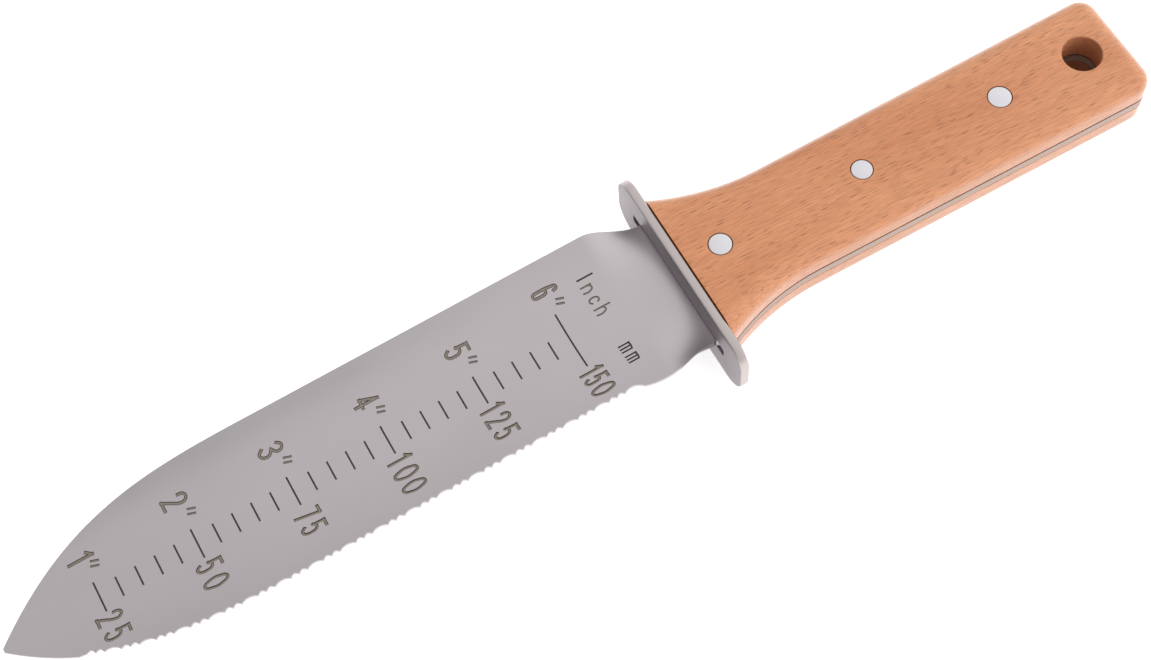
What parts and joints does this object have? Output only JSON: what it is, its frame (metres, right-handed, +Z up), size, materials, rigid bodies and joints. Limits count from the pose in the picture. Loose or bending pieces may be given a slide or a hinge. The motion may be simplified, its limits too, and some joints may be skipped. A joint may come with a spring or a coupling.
{
  "type": "hori hori knife",
  "caption": "Dished, pointed digging knife with a toothed edge, an oblong guard plate and riveted wooden handle scales with a hanging hole.",
  "frame": {"origin": "under the middle of the knife, on the plane of the back scale's flat outer face", "axes": "+X along the knife towards the point, +Y across it towards the toothed edge, +Z up out of the hollow face of the blade and the front scale"},
  "size_m": [0.3086, 0.0588, 0.0191],
  "materials": {
    "stainless_blade": "satin, finely brushed along the blade",
    "stainless_guard": "satin",
    "beech": "clear lacquer over steamed beech",
    "aluminium_pin": "ground flush"
  },
  "bodies": {
    "root": {"blade": "stainless_blade", "guard": "stainless_guard", "front_scale": "beech", "back_scale": "beech", "front_pin": "aluminium_pin", "middle_pin": "aluminium_pin", "rear_pin": "aluminium_pin"}
  },
  "joints": []
}
